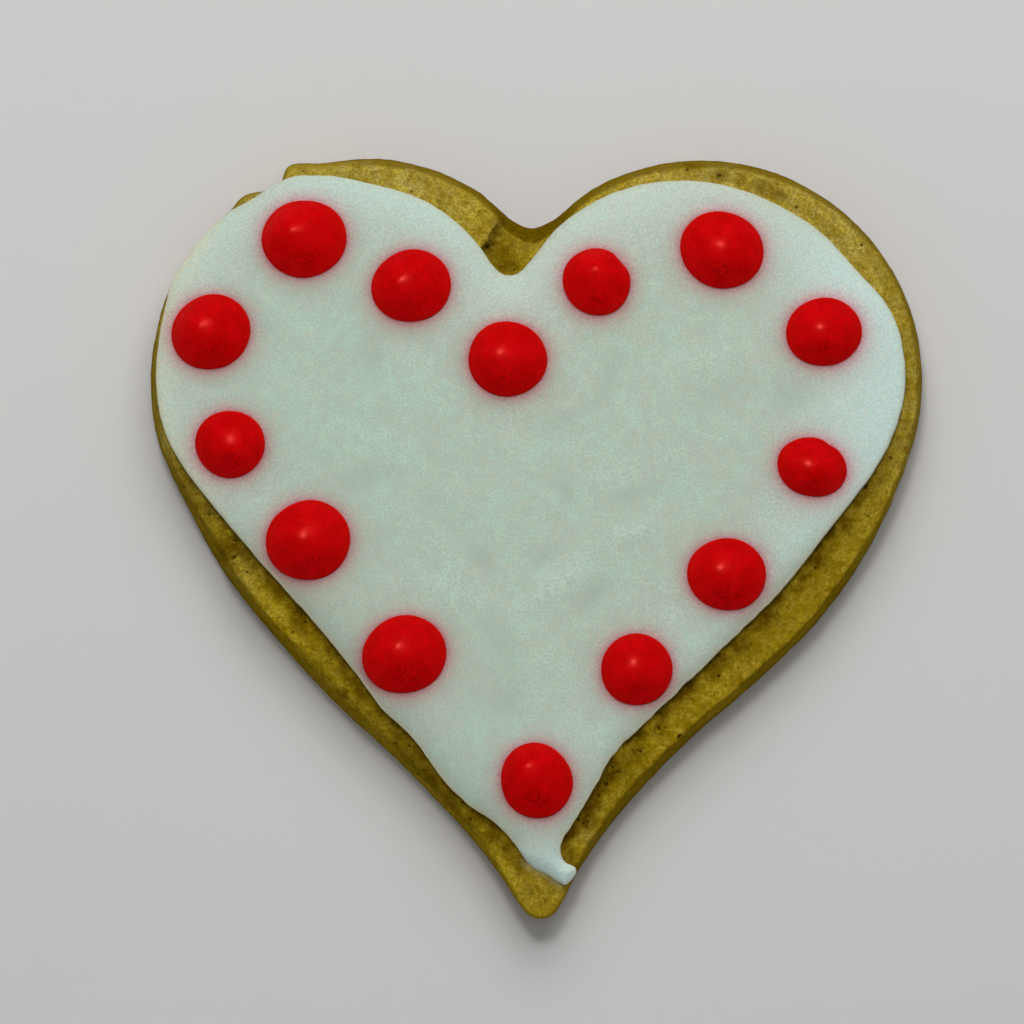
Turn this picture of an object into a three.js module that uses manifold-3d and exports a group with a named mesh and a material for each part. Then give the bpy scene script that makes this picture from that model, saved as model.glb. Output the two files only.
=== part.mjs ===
// A heart-shaped dog biscuit, iced on top and dotted with piped drops of icing, lying flat.
// Millimetres, +Z up. The origin is under the middle of the biscuit, on the face that it rests on.
// The heart's tip points along -Y, its two lobes along +Y.
import * as THREE from "three";
import { mergeVertices } from "three/addons/utils/BufferGeometryUtils.js";
import Module from "manifold-3d";

const wasm = await Module();
wasm.setup();

// ---- Driving dimensions ----

const biscuitHeight = 6.5; // rolled dough, a little risen
const footRadius = 0.8; // the rounded lower edge
const shoulderRadius = 0.9; // the rounded upper edge
const wallLean = 0.5; // how much further in the wall stands at the shoulder than at the foot

const icingHeight = 1.5;
const icingLip = 0.3; // how far the icing's edge bulges past the line where it touches the biscuit
const icingRadius = 1.0; // the rounded upper edge of the icing

const dropRise = 0.3; // a drop's height, as a share of its mean width
const dropFoot = 0.94; // a drop's foot, as a share of its width
const dropBelly = 0.16; // how far up a drop is widest, as a share of its height

const lobeRadius = 22.1; // both lobes are close to round
const rightLobe = { centre: [16.5, 15.7], radii: [lobeRadius, lobeRadius] };
const leftLobe = { centre: [-17.1, 15.6], radii: [21.5, 22.4] };
const tip = { centre: [0.4, -36.1], radii: [2.0, 2.0] };

const icingTip = { centre: [0.6, -31.8], radii: [1.6, 1.6] };

// A run of icing, from the icing's tip out to the biscuit's edge.
const run = { centre: [2.0, -33.1], radii: [2.1, 1.25], height: 1.2, turn: -25 };

// The dough dips where the two lobes meet: a shallow dish, deepest beside the left lobe.
const dip = { centre: [-3.0, 29.7], radii: [2.9, 3.9], depth: 0.8, turn: -28 };

// Each drop: where it stands, its length and breadth, and the turn of its length from +X in degrees.
const drops = [
  { at: [-23.2, 29.9], size: [8.7, 7.8], turn: 8 },
  { at: [-12.5, 25.2], size: [8.1, 7.3], turn: 18 },
  { at: [-2.9, 17.9], size: [8.0, 7.6], turn: 0 },
  { at: [6.0, 25.6], size: [7.0, 6.7], turn: -45 },
  { at: [18.5, 28.8], size: [8.6, 7.7], turn: -17 },
  { at: [28.7, 20.6], size: [7.7, 6.9], turn: 3 },
  { at: [27.5, 7.1], size: [7.2, 5.9], turn: -19 },
  { at: [19.0, -3.6], size: [8.0, 7.3], turn: -3 },
  { at: [10.0, -13.1], size: [7.3, 7.2], turn: 26 },
  { at: [0.0, -24.2], size: [7.7, 7.2], turn: -63 },
  { at: [-13.2, -11.6], size: [8.7, 7.8], turn: 21 },
  { at: [-22.8, -0.2], size: [8.6, 8.1], turn: 17 },
  { at: [-30.6, 9.4], size: [7.1, 6.8], turn: -7 },
  { at: [-32.5, 20.6], size: [8.1, 7.5], turn: 28 },
];

const pointsPerAnchor = 3; // plan points between two neighbouring anchors
const arcSteps = 3; // steps in a rounded edge, seen from the side
const dropSides = 24;
const dropSteps = 5;

// ---- Outlines seen from above, anticlockwise from the tip ----

// Anchors on an ellipse, between two bearings in degrees.
function arc({ centre, radii }, from, to, count) {
  return Array.from({ length: count }, (_, i) => {
    const bearing = THREE.MathUtils.degToRad(from + ((to - from) * i) / (count - 1));
    return [centre[0] + radii[0] * Math.cos(bearing), centre[1] + radii[1] * Math.sin(bearing)];
  });
}

// A smooth closed loop through the anchors.
function smoothLoop(anchors) {
  const corners = anchors.map(([x, y]) => new THREE.Vector3(x, y, 0));
  const curve = new THREE.CatmullRomCurve3(corners, true, "centripetal");
  return curve.getPoints(anchors.length * pointsPerAnchor).slice(0, -1);
}

const biscuitOutline = smoothLoop([
  ...arc(tip, 215, 330, 4),
  // The right flank, swelling and drawing in a little.
  [4.2, -33.2],
  [8.9, -26.8],
  [15.8, -19.7],
  [22.3, -14.1],
  [28.4, -8.0],
  [33.6, -0.4],
  ...arc(rightLobe, -16, 120, 10),
  // The cleft.
  [2.0, 32.0],
  [-0.5, 31.1],
  [-2.8, 32.2],
  ...arc(leftLobe, 58, 102, 4),
  // The left lobe's edge is chipped back here, under the icing.
  [-24.4, 37.3],
  [-25.7, 36.1],
  [-29.7, 33.6],
  [-32.0, 31.3],
  [-34.6, 28.3],
  ...arc(leftLobe, 158, 196, 4),
  // The left flank.
  [-35.4, 4.2],
  [-31.0, -3.8],
  [-25.7, -10.4],
  [-20.1, -16.5],
  [-13.6, -22.5],
  [-10.0, -26.2],
  [-5.9, -30.7],
  [-3.0, -34.6],
]);

const icingOutline = smoothLoop([
  ...arc(icingTip, 215, 350, 4),
  // The right flank.
  [3.0, -29.2],
  [5.2, -26.0],
  [7.5, -21.8],
  [12.2, -17.1],
  [18.8, -10.7],
  [24.2, -5.5],
  [29.2, 0.8],
  [34.9, 8.8],
  // The right lobe, a little flat at its upper right.
  [36.8, 15.4],
  [35.6, 22.2],
  [31.4, 27.3],
  [28.1, 30.8],
  [21.8, 34.4],
  [14.9, 35.8],
  [8.0, 34.7],
  [2.3, 31.3],
  // Round the bare dip in the cleft.
  [-0.6, 27.8],
  [-2.0, 26.4],
  [-3.6, 26.5],
  [-6.3, 30.0],
  // The left lobe, where the icing comes out to the biscuit's edge.
  [-11.0, 33.7],
  [-16.4, 35.4],
  [-21.9, 36.3],
  [-26.5, 35.1],
  [-31.9, 31.1],
  [-36.4, 24.9],
  [-38.0, 18.0],
  [-37.8, 12.9],
  // The left flank.
  [-36.4, 8.8],
  [-30.4, 0.8],
  [-22.5, -8.0],
  [-17.9, -13.6],
  [-15.5, -16.9],
  [-12.4, -19.8],
  [-9.3, -24.1],
  [-6.6, -26.7],
  [-4.2, -28.3],
  [-2.4, -30.2],
]);

// ---- Solids ----

// The loop moved inwards by a distance, at a height.
function ring(loop, inset, height) {
  return loop.map((point, i) => {
    const before = loop.at(i - 1);
    const after = loop[(i + 1) % loop.length];
    const inward = new THREE.Vector3(before.y - after.y, after.x - before.x, 0).normalize();
    return point.clone().addScaledVector(inward, inset).setZ(height);
  });
}

// A closed body through rings of equally many points, with flat caps on the first and the last.
function loft(rings) {
  const count = rings[0].length;
  const indices = [];
  for (let level = 0; level < rings.length - 1; level++) {
    for (let i = 0; i < count; i++) {
      const here = level * count + i;
      const next = level * count + ((i + 1) % count);
      indices.push(here, next, here + count, next, next + count, here + count);
    }
  }
  const cap = THREE.ShapeUtils.triangulateShape(rings[0], []);
  const top = count * (rings.length - 1);
  for (const [a, b, c] of cap) indices.push(a, c, b);
  for (const [a, b, c] of THREE.ShapeUtils.triangulateShape(rings.at(-1), [])) {
    indices.push(top + a, top + b, top + c);
  }
  return new THREE.BufferGeometry().setFromPoints(rings.flat()).setIndex(indices);
}

// [inset, height] along a quarter circle, between two bearings in degrees.
function edgeArc(inset, height, radius, from, to) {
  return arc({ centre: [inset, height], radii: [radius, radius] }, from, to, arcSteps + 1);
}

// The biscuit's side from its foot to its flat top: outwards is towards smaller insets.
const biscuitSide = [
  ...edgeArc(footRadius, footRadius, footRadius, 270, 180),
  ...edgeArc(wallLean + shoulderRadius, biscuitHeight - shoulderRadius, shoulderRadius, 180, 90),
];

// The icing's side stands on the biscuit's top, bulges out and rounds over.
const icingTop = biscuitHeight + icingHeight;
const icingSide = [
  [icingLip, biscuitHeight],
  ...edgeArc(icingRadius, icingTop - icingRadius, icingRadius, 180, 90),
];

function lofted(outline, side) {
  return loft(side.map(([inset, height]) => ring(outline, inset, height)));
}

// A geometry as a solid that can be cut and joined, and back.
function toSolid(geometry) {
  const bare = geometry.clone().deleteAttribute("normal").deleteAttribute("uv");
  const merged = mergeVertices(bare);
  const vertProperties = merged.attributes.position.array;
  const triVerts = new Uint32Array(merged.index.array);
  return new wasm.Manifold(new wasm.Mesh({ numProp: 3, vertProperties, triVerts }));
}

function toGeometry(solid) {
  const { vertProperties, triVerts } = solid.getMesh();
  return new THREE.BufferGeometry()
    .setAttribute("position", new THREE.BufferAttribute(vertProperties, 3))
    .setIndex(new THREE.BufferAttribute(triVerts, 1));
}

// A flattened ball centred on the biscuit's top.
function flatBall({ centre, radii, turn }, halfHeight) {
  const ball = new THREE.SphereGeometry(1, 20, 10)
    .rotateX(Math.PI / 2)
    .scale(radii[0], radii[1], halfHeight)
    .rotateZ(THREE.MathUtils.degToRad(turn))
    .translate(centre[0], centre[1], biscuitHeight);
  return toSolid(ball);
}

function biscuitGeometry() {
  const dough = toSolid(lofted(biscuitOutline, biscuitSide));
  return toGeometry(dough.subtract(flatBall(dip, dip.depth)));
}

function icingGeometry() {
  const spread = toSolid(lofted(icingOutline, icingSide));
  const runDown = flatBall(run, run.height).trimByPlane([0, 0, 1], biscuitHeight);
  return toGeometry(spread.add(runDown));
}

// A domed drop with a flat foot, a little narrower than its belly.
function dropGeometry([length, breadth]) {
  const height = (dropRise * (length + breadth)) / 2;
  const belly = dropBelly * height;
  const dome = arc({ centre: [0, belly], radii: [0.5, height - belly] }, 0, 90, dropSteps + 1);
  const profile = [[0, 0], [dropFoot / 2, 0], ...dome.slice(0, -1), [0, height]];
  const points = profile.map(([radius, z]) => new THREE.Vector2(radius, z));
  return new THREE.LatheGeometry(points, dropSides).rotateX(Math.PI / 2).scale(length, breadth, 1);
}

// ---- The part ----

const bakedDough = new THREE.MeshStandardMaterial({ color: 0x8a7526, roughness: 0.9, metalness: 0 });
const whiteIcing = new THREE.MeshStandardMaterial({ color: 0xc4d6c6, roughness: 0.55, metalness: 0 });
const redIcing = new THREE.MeshStandardMaterial({ color: 0xd40c08, roughness: 0.3, metalness: 0 });

function namedMesh(name, geometry, material) {
  geometry.computeVertexNormals();
  const mesh = new THREE.Mesh(geometry, material);
  mesh.name = name;
  return mesh;
}

const part = new THREE.Group();
part.add(namedMesh("biscuit", biscuitGeometry(), bakedDough));
part.add(namedMesh("icing", icingGeometry(), whiteIcing));

drops.forEach(({ at, size, turn }, i) => {
  const name = `drop_${String(i + 1).padStart(2, "0")}`;
  const drop = namedMesh(name, dropGeometry(size), redIcing);
  drop.position.set(at[0], at[1], icingTop);
  drop.rotation.z = THREE.MathUtils.degToRad(turn);
  part.add(drop);
});

export default part;
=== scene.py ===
"""The looks of a heart-shaped dog biscuit: baked dough, pale icing and red drops of icing.

Meshes are worked out in millimetres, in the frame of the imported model, and stored in metres.
"""

import math

import bmesh
import bpy
import numpy as np
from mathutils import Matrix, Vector, geometry, kdtree, noise


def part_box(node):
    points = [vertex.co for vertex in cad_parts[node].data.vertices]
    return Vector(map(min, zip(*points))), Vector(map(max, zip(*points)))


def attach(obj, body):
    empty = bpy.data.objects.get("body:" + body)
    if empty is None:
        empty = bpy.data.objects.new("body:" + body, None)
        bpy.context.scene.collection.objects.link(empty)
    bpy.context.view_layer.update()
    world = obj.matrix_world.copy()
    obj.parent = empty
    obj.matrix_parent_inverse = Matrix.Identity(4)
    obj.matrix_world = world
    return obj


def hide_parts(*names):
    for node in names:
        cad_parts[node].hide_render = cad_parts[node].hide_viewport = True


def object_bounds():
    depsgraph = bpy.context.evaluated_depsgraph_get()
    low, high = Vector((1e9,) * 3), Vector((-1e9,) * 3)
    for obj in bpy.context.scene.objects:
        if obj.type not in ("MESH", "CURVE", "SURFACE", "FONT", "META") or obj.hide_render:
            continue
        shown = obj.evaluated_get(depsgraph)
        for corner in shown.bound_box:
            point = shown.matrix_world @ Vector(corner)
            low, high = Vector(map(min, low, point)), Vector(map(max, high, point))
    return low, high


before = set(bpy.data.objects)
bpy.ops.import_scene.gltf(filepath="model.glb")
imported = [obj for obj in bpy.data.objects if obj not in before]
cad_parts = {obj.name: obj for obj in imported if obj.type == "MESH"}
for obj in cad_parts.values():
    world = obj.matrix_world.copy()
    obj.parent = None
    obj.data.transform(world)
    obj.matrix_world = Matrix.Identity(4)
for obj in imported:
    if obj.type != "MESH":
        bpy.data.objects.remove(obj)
cad_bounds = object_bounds()

MM = 0.001


# ---- Plane outlines ----

def section(node, height):
    """The closed outline where a CAD node is cut at a height in mm, as points running anticlockwise."""
    bm = bmesh.new()
    bm.from_mesh(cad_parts[node].data)
    bmesh.ops.remove_doubles(bm, verts=bm.verts, dist=0.001 * MM)
    whole = [*bm.verts, *bm.edges, *bm.faces]
    cut = bmesh.ops.bisect_plane(bm, geom=whole, plane_co=(0, 0, height * MM), plane_no=(0, 0, 1))
    edges = {item for item in cut["geom_cut"] if isinstance(item, bmesh.types.BMEdge)}
    corner = min(edges, key=lambda edge: edge.index).verts[0]
    points = []
    while edges:
        edge = next((item for item in corner.link_edges if item in edges), None)
        if edge is None:
            break
        points.append(corner.co.xy / MM)
        edges.discard(edge)
        corner = edge.other_vert(corner)
    bm.free()
    loop = np.array(points)
    after = np.roll(loop, -1, axis=0)
    turn = np.sum(loop[:, 0] * after[:, 1] - loop[:, 1] * after[:, 0])
    return loop if turn > 0 else loop[::-1]


def blurred(values, steps):
    """Values round a closed loop, each averaged with its neighbours over about so many steps."""
    reach = math.ceil(3 * steps)
    weights = np.exp(-0.5 * (np.arange(-reach, reach + 1) / steps) ** 2)
    weights /= weights.sum()
    wrapped = np.vstack([values[-reach:], values, values[:reach]])
    return np.column_stack([np.convolve(column, weights, "valid") for column in wrapped.T])


def resample(loop, spacing, blur):
    """The loop as evenly spaced points, with its corners rounded over about the blur."""
    closed = np.vstack([loop, loop[:1]])
    along = np.concatenate([[0], np.cumsum(np.linalg.norm(np.diff(closed, axis=0), axis=1))])
    count = round(along[-1] / spacing)
    at = np.arange(count) * along[-1] / count
    points = np.column_stack([np.interp(at, along, closed[:, axis]) for axis in (0, 1)])
    return blurred(points, blur / spacing)


def inward(loop):
    """Unit vectors at each point of an anticlockwise loop, pointing to its inside."""
    ahead = np.roll(loop, -1, axis=0) - np.roll(loop, 1, axis=0)
    ahead /= np.linalg.norm(ahead, axis=1, keepdims=True)
    return np.column_stack([-ahead[:, 1], ahead[:, 0]])


def nearest_on(loop, points):
    """The loop's point nearest to each point, and how far inside the loop each lies, in mm."""
    normals = inward(loop)
    index = np.empty(len(points), int)
    depth = np.empty(len(points))
    for start in range(0, len(points), 4000):
        part = points[start:start + 4000]
        gap = part[:, None, :2] - loop[None]
        nearest = np.argmin(np.einsum("ijk,ijk->ij", gap, gap), axis=1)
        away = gap[np.arange(len(part)), nearest]
        side = np.sign(np.einsum("ij,ij->i", away, normals[nearest]))
        index[start:start + 4000] = nearest
        depth[start:start + 4000] = side * np.linalg.norm(away, axis=1)
    return index, depth


def depth_inside(loop, points):
    """How far each point lies inside the loop, in mm: negative outside it."""
    return nearest_on(loop, points)[1]


def smooth_line(anchors):
    """A smooth line through the anchors, without its two ends."""
    line = []
    for before, start, end, after in zip(anchors, anchors[1:], anchors[2:], anchors[3:]):
        for part in np.linspace(0, 1, 12, endpoint=False):
            pull = 0.5 * (end - before) * (part ** 3 - 2 * part ** 2 + part)
            push = 0.5 * (after - start) * (part ** 3 - part ** 2)
            blend = part * part * (3 - 2 * part)
            line.append(start + (end - start) * blend + pull + push)
    return np.array(line)


def redrawn(loop, anchors):
    """The loop with one stretch replaced by a smooth line through the anchors, in the loop's own turn."""
    ends = np.array([anchors[0], anchors[-1]])
    first, last = (np.argmin(np.linalg.norm(loop - end, axis=1)) for end in ends)
    kept = np.roll(loop, -last, axis=0)[:(first - last) % len(loop)]
    stretch = smooth_line([kept[-1], *np.array(anchors), kept[0]])
    return np.vstack([kept, stretch])


def hex_grid(loop, spacing, rng):
    """Points about evenly spread over the loop's box, each a little out of line."""
    low, high = loop.min(0), loop.max(0)
    rows = np.arange(low[1], high[1], spacing * math.sqrt(0.75))
    columns = np.arange(low[0], high[0], spacing)
    x, y = np.meshgrid(columns, rows)
    x = x + 0.5 * spacing * (np.arange(len(rows)) % 2)[:, None]
    grid = np.column_stack([x.ravel(), y.ravel()])
    return grid + rng.uniform(-0.12, 0.12, grid.shape) * spacing


def inner_grid(loop, spacing, inset, rng):
    """Points about evenly spread inside the loop, further in than the inset."""
    grid = hex_grid(loop, spacing, rng)
    return grid[depth_inside(loop, grid) > inset]


def clear_rings(loop, insets):
    """The loop moved inwards by each inset, without the points where it would cross itself."""
    kept = []
    for inset in insets:
        ring = loop + inward(loop) * inset
        kept.append(ring[depth_inside(loop, ring) > 0.97 * inset])
    return np.vstack(kept)


# ---- Meshes ----

def ramp(value, low, high):
    """0 up to low, 1 from high on, and a smooth rise between them. Low may be the larger of the two."""
    part = np.clip((value - low) / (high - low), 0, 1)
    return part * part * (3 - 2 * part)


def bumps(points, size, seed):
    """Smooth noise from about -1 to 1 at each point, its bumps about the size across, in mm."""
    shift = Vector((17.3, 5.1, 9.7)) * seed
    flat = points.shape[1] == 2
    places = np.column_stack([points, np.zeros(len(points))]) if flat else points
    return np.array([noise.noise(Vector(place) / size + shift) for place in places])


def strip(rings, around):
    """Quads that join rings of equally many points, the lowest ring first."""
    level, step = np.meshgrid(np.arange(rings - 1), np.arange(around), indexing="ij")
    here = level * around + step
    beside = level * around + (step + 1) % around
    return np.stack([here, beside, beside + around, here + around], axis=-1).reshape(-1, 4)


def fill(loop, inner):
    """Triangles that fill a loop through inner points. They count the loop's points first."""
    places = [Vector(point) for point in np.vstack([loop, inner])]
    border = [list(range(len(loop)))]
    made = geometry.delaunay_2d_cdt(places, [], border, 1, 1e-7)
    origin = np.array([source[0] for source in made[3]])
    triangles = origin[np.array(made[2])]
    flat = np.array(places)
    first, second, third = (flat[triangles[:, corner]] for corner in range(3))
    turn = np.cross(second - first, third - first)
    triangles[turn < 0] = triangles[turn < 0][:, ::-1]
    return triangles


def shell(rings, top_inner, bottom_inner, top_height, bottom_height):
    """Points and faces of a closed body: stacked rings, a top and a bottom, each through inner points."""
    around = len(rings[0])
    top_points = np.column_stack([top_inner, top_height(top_inner)])
    bottom_points = np.column_stack([bottom_inner, bottom_height(bottom_inner)])
    points = np.vstack([*rings, top_points, bottom_points])
    last = (len(rings) - 1) * around
    ring_count = len(rings) * around
    top = fill(rings[-1][:, :2], top_inner)
    top = np.where(top < around, top + last, top - around + ring_count)
    bottom = fill(rings[0][:, :2], bottom_inner)[:, ::-1]
    bottom = np.where(bottom < around, bottom, bottom - around + ring_count + len(top_inner))
    return points, [*strip(len(rings), around).tolist(), *top.tolist(), *bottom.tolist()]


def new_mesh(name, points, faces):
    """A smoothly shaded mesh through points in mm."""
    mesh = bpy.data.meshes.new(name)
    mesh.from_pydata((points * MM).tolist(), [], faces)
    mesh.polygons.foreach_set("use_smooth", np.ones(len(mesh.polygons), bool))
    mesh.update()
    return mesh


def new_object(name, data):
    """An object in the scene, made of the data."""
    made = bpy.data.objects.new(name, data)
    bpy.context.scene.collection.objects.link(made)
    return made


def add_piece(name, mesh, node, material):
    """A piece that stands for a CAD node."""
    piece = new_object(name, mesh)
    mesh.materials.append(material)
    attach(piece, "root")
    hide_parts(node)


def set_attributes(mesh, named_values):
    """Numbers at the mesh's points, which its material reads."""
    for name, values in named_values.items():
        layer = mesh.attributes.new(name, "FLOAT", "POINT")
        layer.data.foreach_set("value", np.asarray(values, np.float32))


def vertex_normals(mesh):
    normals = np.empty(len(mesh.vertices) * 3, np.float32)
    mesh.vertices.foreach_get("normal", normals)
    return normals.reshape(-1, 3)


# ---- Sizes and outlines, in mm ----

def height_span(node):
    low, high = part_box(node)
    return low.z / MM, high.z / MM


DOUGH_TOP = height_span("biscuit")[1]
ICING_TOP = height_span("icing")[1]
DROPS = sorted(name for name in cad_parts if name.startswith("drop_"))

FOOT_RADIUS = 0.8
WALL_LEAN = 0.5  # how much further in the wall stands at the shoulder than at the foot
LEAST_LEAN = 0.08  # the wall never leans less
NOTCH = (-0.6, 31.2)  # where the two lobes meet
TIP = (0.4, -37.2)

# The left lobe's chipped edge, anticlockwise: first the dough's, then that of the icing over it.
CHIP = [
    (-22.7, 37.55), (-24.2, 37.45), (-24.85, 37.18), (-25.15, 36.68), (-25.33, 36.15), (-25.6, 35.55),
    (-26.3, 34.95), (-27.1, 34.8), (-27.8, 34.66), (-28.5, 34.5), (-29.25, 34.22), (-29.85, 33.72),
    (-30.35, 33.1), (-30.9, 32.45), (-31.6, 31.65), (-33.3, 29.95), (-35.5, 26.85), (-36.6, 25.15),
    (-37.3, 23.4), (-37.85, 21.4), (-38.25, 19.4),
]
ICED_CHIP = [
    (-23.0, 36.25), (-24.3, 36.1), (-25.5, 35.65), (-26.6, 35.05), (-27.5, 34.46), (-28.3, 33.9),
    (-29.1, 33.45), (-30.0, 33.0), (-30.7, 32.6), (-31.7, 31.7), (-33.4, 30.0), (-35.6, 26.95),
    (-36.6, 25.1), (-36.95, 23.6), (-37.3, 22.1), (-37.65, 20.4),
]
# The biscuit's edge where the two lobes meet, from the right lobe to the left.
NOTCH_EDGE = [
    (3.9, 33.69), (2.6, 32.55), (1.7, 31.83), (0.8, 31.4), (0.1, 31.08), (-0.35, 30.98), (-1.2, 31.18),
    (-2.1, 31.6), (-2.8, 32.07), (-3.8, 32.95), (-4.8, 33.83), (-5.7, 34.6),
]
CHIP_STEP = (-25.3, 36.4)  # the end of the rim's slab at the chip

# The edge of the run of icing at the tip, anticlockwise from the left flank to the right flank.
RUN_EDGE = [
    (-2.4, -30.2), (-1.4, -31.7), (-0.4, -32.9), (1.4, -33.9), (2.7, -34.65), (3.15, -34.5),
    (3.9, -33.5), (3.8, -32.9), (2.8, -32.3), (2.35, -31.2), (2.7, -29.7), (4.3, -27.4),
]

# Spacing of the points, in mm.
DOUGH_STEP = 0.23  # on the dough, where it shows
ICING_STEP = 0.25  # along the icing's edge
ICED_STEP = 0.36  # on the icing's upper side
BASE_STEP = 0.6  # on the face that the biscuit rests on
HIDDEN_STEP = 1.4  # where dough and icing lie on each other


def right_side(points):
    """1 along the right lobe's outer side, 0 elsewhere."""
    return ramp(points[:, 0], 22, 34) * ramp(points[:, 1], -9, 3)


def dough_edge_line():
    """The dough's outline: the CAD section, with the chip and the notch drawn more closely."""
    loop = resample(section("biscuit", FOOT_RADIUS), DOUGH_STEP, 0.3)
    return resample(redrawn(redrawn(loop, CHIP), NOTCH_EDGE), DOUGH_STEP, 0.15)


def icing_edge_line():
    """The icing's outline: the CAD section, with the chip and the run at the tip drawn more closely."""
    loop = resample(section("icing", DOUGH_TOP + 0.4), ICING_STEP, 0.25)
    loop = resample(redrawn(redrawn(loop, ICED_CHIP), RUN_EDGE), ICING_STEP, 0.16)
    x, y = loop.T
    flank = ramp(y, 2, -8)
    frayed = 0.04 + 0.04 * flank * (x > 0) + 0.02 * flank
    waver = frayed * bumps(loop, 1.3, 51) + 0.5 * frayed * bumps(loop, 0.6, 52)
    waver -= 0.11 * flank * ramp(y, -31, -29) + 0.12 * right_side(loop)
    waver -= 0.02 * ramp(y, 22, 30) * ramp(x, -4, -8)
    return loop + inward(loop) * waver[:, None]


dough_outline = dough_edge_line()
icing_outline = icing_edge_line()


# ---- The dough ----

CLEFT_STEP = Vector((-4.5, 30.6))  # middle of the step where the left lobe's rim breaks off
CLEFT_ALONG = Vector((0.55, 0.835))
CLEFT_DROP = 1.05  # the step's height
CLEFT_HOLLOW = (-2.6, 27.9)  # the darker hollow between the step and the icing
LEDGE = Vector((-30.2, -2.08))  # a small step across the rim of the left flank
LEDGE_ALONG = Vector((0.84, 0.55))
LEDGE_RISE = 0.32  # the step's height


def near(points, place, reach):
    """1 at a place in plan, falling to 0 around it."""
    gap = points[:, :2] - np.array(place)
    return np.exp(-0.5 * np.einsum("ij,ij->i", gap, gap) / reach ** 2)


def beside_line(points, place, along):
    """How far each point is to the right of a line in plan, and how far along it."""
    gap = points[:, :2] - np.array(place)
    return gap @ np.array((along.y, -along.x)), gap @ np.array(along)


def soft_flank(points):
    """1 along the left flank's lower half, where the wall rounds gently into the top, 0 elsewhere."""
    x, y = points[:, :2].T
    return ramp(x, -1, -5) * ramp(y, -9, -15) * ramp(y, -34, -30)


def wall_lean(points):
    """How far the wall leans in: most in the cleft, and hardly at all at the tip."""
    x, y = points[:, :2].T
    flanks = (0.25 + 0.07 * (x < 0)) * ramp(y, 6, -6) * ramp(y, -34, -24)
    ragged = 0.15 * bumps(points, 5, 41) + 0.08 * bumps(points, 1.7, 42)
    ragged += 0.10 * bumps(points, 2.4, 48) * ramp(y, 4, 16)
    ragged *= 1 - 0.8 * near(points, NOTCH, 3)
    beside, _ = beside_line(points, LEDGE, LEDGE_ALONG)
    above_ledge = 0.3 * ramp(beside, 0.1, -0.15) * ramp(beside, -8, -2) * (x < -20)
    steeper = 0.22 * right_side(points) + 0.35 * near(points, CHIP_STEP, 1.5) + 0.5 * near(points, TIP, 4.5)
    lean = WALL_LEAN + flanks + ragged + above_ledge - steeper
    return np.maximum(lean + 0.72 * near(points, NOTCH, 1.9), LEAST_LEAN)


outline_lean = wall_lean(dough_outline)

# Radius of the rounded upper edge: rounder on the lobes and on the soft flank.
outline_shoulder = 0.4 + 0.4 * ramp(dough_outline[:, 1], 0, 14) * (1 - near(dough_outline, NOTCH, 4))
outline_shoulder += 0.75 * soft_flank(dough_outline)


def beside_step(points):
    """How far each point is beyond the ragged step in the cleft, and how far along it."""
    beside, along = beside_line(points, CLEFT_STEP, CLEFT_ALONG)
    return beside + 0.16 * bumps(points[:, :2], 0.9, 8), along


def cleft_drop(points):
    """How far the dough is sunk beside the step in the cleft."""
    beside, along = beside_step(points)
    sunk = (1 - np.exp(-np.maximum(beside, 0) / 0.45)) * (1 - ramp(beside, 1.6, 5.4))
    return CLEFT_DROP * sunk * ramp(along, -8, -3)


def step_shade(points):
    """1 at the foot of the step in the cleft, 0 away from it: the shade is wider to the icing's side."""
    beside, along = beside_step(points)
    width = np.clip(0.42 - 0.12 * along, 0.25, 0.8)
    return ramp(beside, -0.05, 0.1) * np.exp(-np.maximum(beside, 0) / width) * (np.abs(along) < 2.2)


def ledge_crack(points):
    """1 in the short crack above the small step across the left flank, 0 beside it."""
    beside, along = beside_line(points, LEDGE, LEDGE_ALONG)
    return np.exp(-(((beside + 0.13) / 0.11) ** 2) - ((along - 0.1) / 0.5) ** 4)


def ledge_rise(points, depth):
    """How far the outer rim of the left flank stands up beyond the small step across it."""
    beside, _ = beside_line(points, LEDGE, LEDGE_ALONG)
    outer = (1 - ramp(depth, 1.1, 2.0)) * (points[:, 0] < -15)
    rise = LEDGE_RISE * outer * ramp(beside, -0.06, 0.06) * (1 - ramp(beside, 2, 8))
    return rise - 0.3 * ledge_crack(points)


def rim_ridges(index, depth):
    """Low ridges that run along the rim, from about -1 to 1."""
    turn = 2 * math.pi * index / len(dough_outline)
    round_about = 6.3 * np.column_stack([np.cos(turn), np.sin(turn)])
    return bumps(np.column_stack([round_about, depth / 0.9]), 1, 43)


def dough_top(points):
    """The height of the dough's upper side at points in plan."""
    index, depth = nearest_on(dough_outline, points)
    lean, shoulder = outline_lean[index], outline_shoulder[index]
    over = np.clip((lean + shoulder - depth) / shoulder, 0, 1)
    rim = shoulder * (1 - np.sqrt(1 - over ** 2)) + 6 * np.maximum(lean - depth, 0)
    sag = 0.48 * np.exp(-np.maximum(depth - 0.9, 0) / 2.0)
    roll = 0.10 * bumps(points, 9, 1) + 0.05 * bumps(points, 3.5, 2) + 0.045 * rim_ridges(index, depth)
    return DOUGH_TOP - 0.01 - rim - sag + roll + ledge_rise(points, depth) - cleft_drop(points)


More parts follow.
